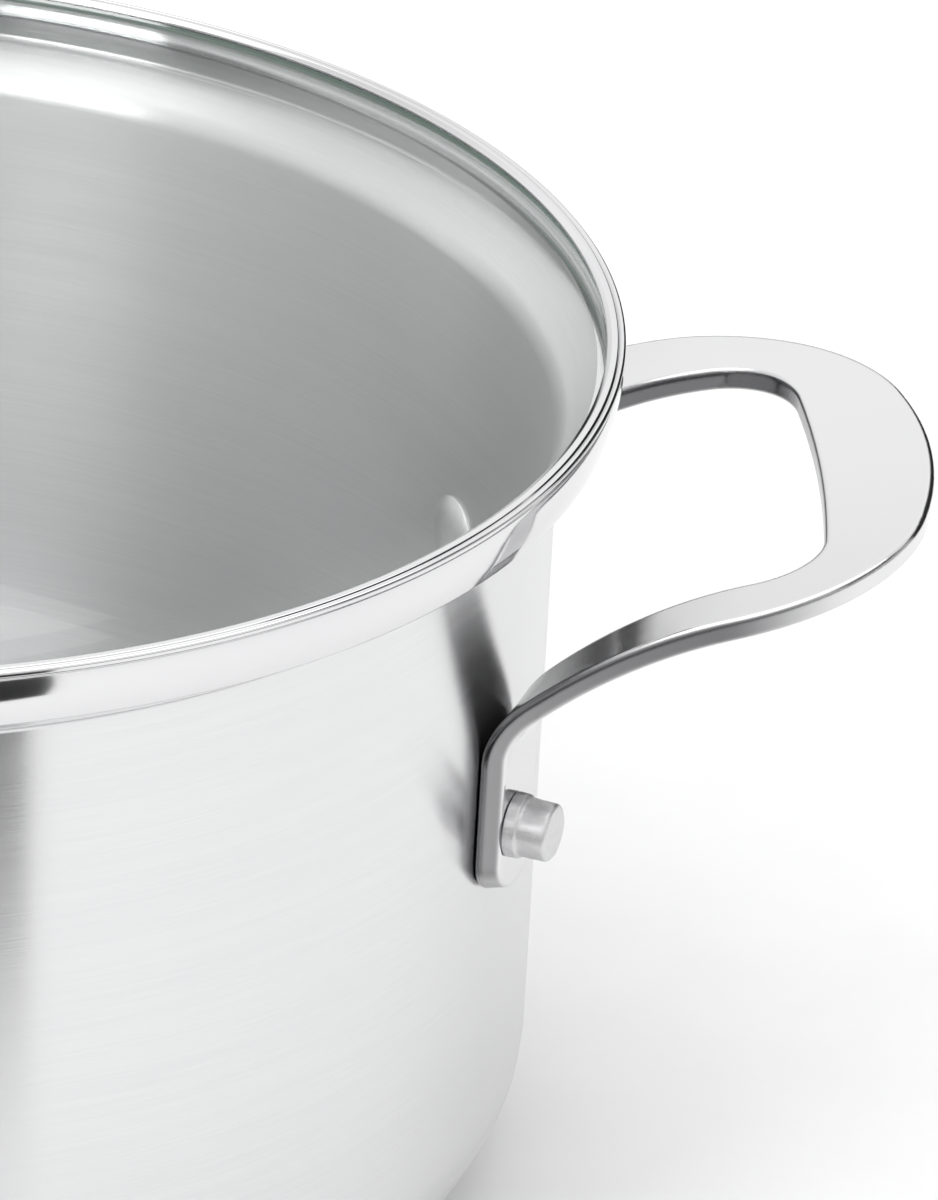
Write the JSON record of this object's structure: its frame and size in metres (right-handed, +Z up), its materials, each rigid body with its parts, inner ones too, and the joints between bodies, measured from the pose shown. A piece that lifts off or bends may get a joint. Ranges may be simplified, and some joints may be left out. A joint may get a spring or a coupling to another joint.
{
  "type": "water bath canner",
  "caption": "Low round steel water bath canner with a flared polished rim, plate loop handles, domed glass lid and a liftable wire jar rack.",
  "frame": {"origin": "centre of the underside of the base, on the surface that the pot stands on", "axes": "+Z up along the pot's axis; +X through the right side handle; +Y towards the back"},
  "size_m": [0.455, 0.33, 0.2354],
  "materials": {
    "satin_steel": "fine horizontal satin brushing on drawn stainless sheet",
    "polished_steel": "mirror-polished stainless steel",
    "rivet_steel": "tumbled matt stainless steel with flat polished ends",
    "tempered_glass": "clear tempered soda-lime glass with a green edge",
    "silicone": "soft matt silicone",
    "aluminium_core": "plain pressed aluminium, hidden inside the base",
    "rack_wire": "bright drawn stainless wire"
  },
  "bodies": {
    "pot": {"pot_shell": "satin_steel", "base_aluminium_core": "aluminium_core", "base_steel_cap": "satin_steel", "side_handle_right": "polished_steel", "side_handle_left": "polished_steel", "rivet_right_front": "rivet_steel", "rivet_right_back": "rivet_steel", "rivet_left_front": "rivet_steel", "rivet_left_back": "rivet_steel"},
    "rack": {"rack_outer_ring": "rack_wire", "rack_middle_ring": "rack_wire", "rack_inner_ring": "rack_wire", "rack_slat_wires": "rack_wire", "rack_runner_right": "rack_wire", "rack_runner_left": "rack_wire", "rack_eye_right_front": "rack_wire", "rack_eye_right_back": "rack_wire", "rack_eye_left_front": "rack_wire", "rack_eye_left_back": "rack_wire"},
    "lid": {"lid_glass": "tempered_glass", "lid_rim_ring": "polished_steel", "lid_handle_pad": "silicone", "lid_handle_boss": "polished_steel", "lid_handle_arch": "polished_steel", "lid_inner_seal": "silicone", "lid_washer": "polished_steel", "lid_handle_screw": "polished_steel", "lid_vent_grommet": "silicone", "lid_vent_eyelet": "polished_steel"},
    "rack_bail_right": {"rack_bail_right": "rack_wire"},
    "rack_bail_left": {"rack_bail_left": "rack_wire"}
  },
  "joints": [
    {"name": "rack_lift", "type": "slide", "parent": "pot", "child": "rack", "axis": [0, 0, 1], "range_m": [0, 0.25]},
    {"name": "lid_lift", "type": "slide", "parent": "rack", "child": "lid", "axis": [0, 0, 1], "range_m": [0, 0.25]},
    {"name": "rack_bail_right_hinge", "type": "hinge", "parent": "rack", "child": "rack_bail_right", "pos_m": [0.112, 0, 0.0285], "axis": [0, 1, 0], "range_deg": [0, 100]},
    {"name": "rack_bail_left_hinge", "type": "hinge", "parent": "rack", "child": "rack_bail_left", "pos_m": [-0.112, 0, 0.0285], "axis": [0, -1, 0], "range_deg": [0, 100]}
  ]
}
